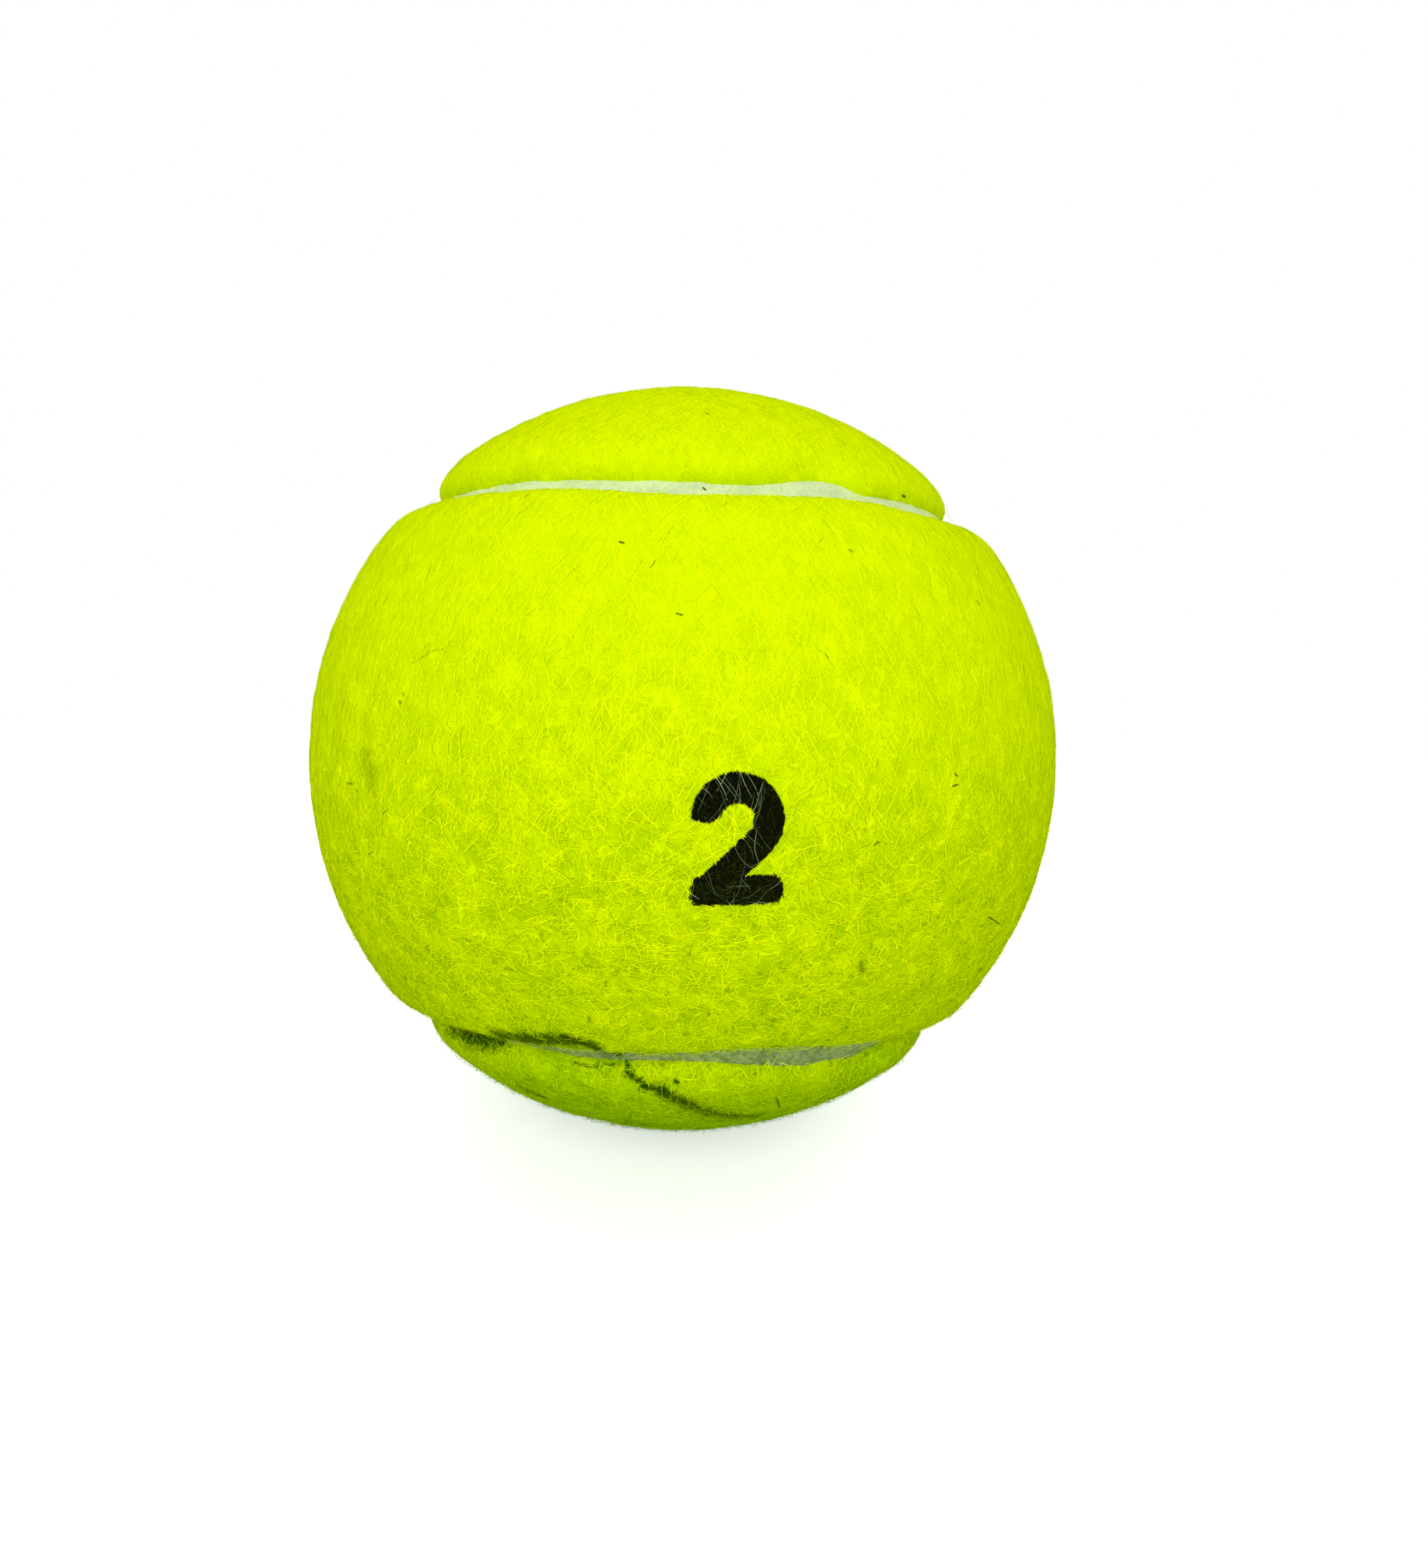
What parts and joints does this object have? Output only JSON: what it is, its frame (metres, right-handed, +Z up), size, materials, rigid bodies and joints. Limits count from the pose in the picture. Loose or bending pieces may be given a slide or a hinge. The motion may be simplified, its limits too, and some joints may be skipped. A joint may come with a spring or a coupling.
{
  "type": "tennis ball",
  "caption": "Felt-covered pressurised tennis ball: hollow rubber core in cemented halves, interlocking dumbbell felt panels and a recessed rubber seam.",
  "frame": {"origin": "centre of the ball", "axes": "+Z up; the front felt panel's waist faces -Y and its lobes lie towards +X and -X; +Y runs through the middle of the rear panel's waist, whose lobes lie towards +Z and -Z"},
  "size_m": [0.0668, 0.0668, 0.0668],
  "materials": {
    "core_rubber": "matt moulded rubber",
    "cement": "dried rubber cement, slightly glossy",
    "backing_cloth": "woven base cloth",
    "felt": "napped wool and nylon felt, optic yellow",
    "seam_rubber": "vulcanised seam rubber, matt and slightly rough"
  },
  "bodies": {
    "root": {"core_half_front": "core_rubber", "core_half_rear": "core_rubber", "core_joint_cement": "cement", "core_cement_coat": "cement", "felt_backing_front": "backing_cloth", "felt_backing_rear": "backing_cloth", "felt_nap_front": "felt", "felt_nap_rear": "felt", "seam_rubber": "seam_rubber"}
  },
  "joints": []
}
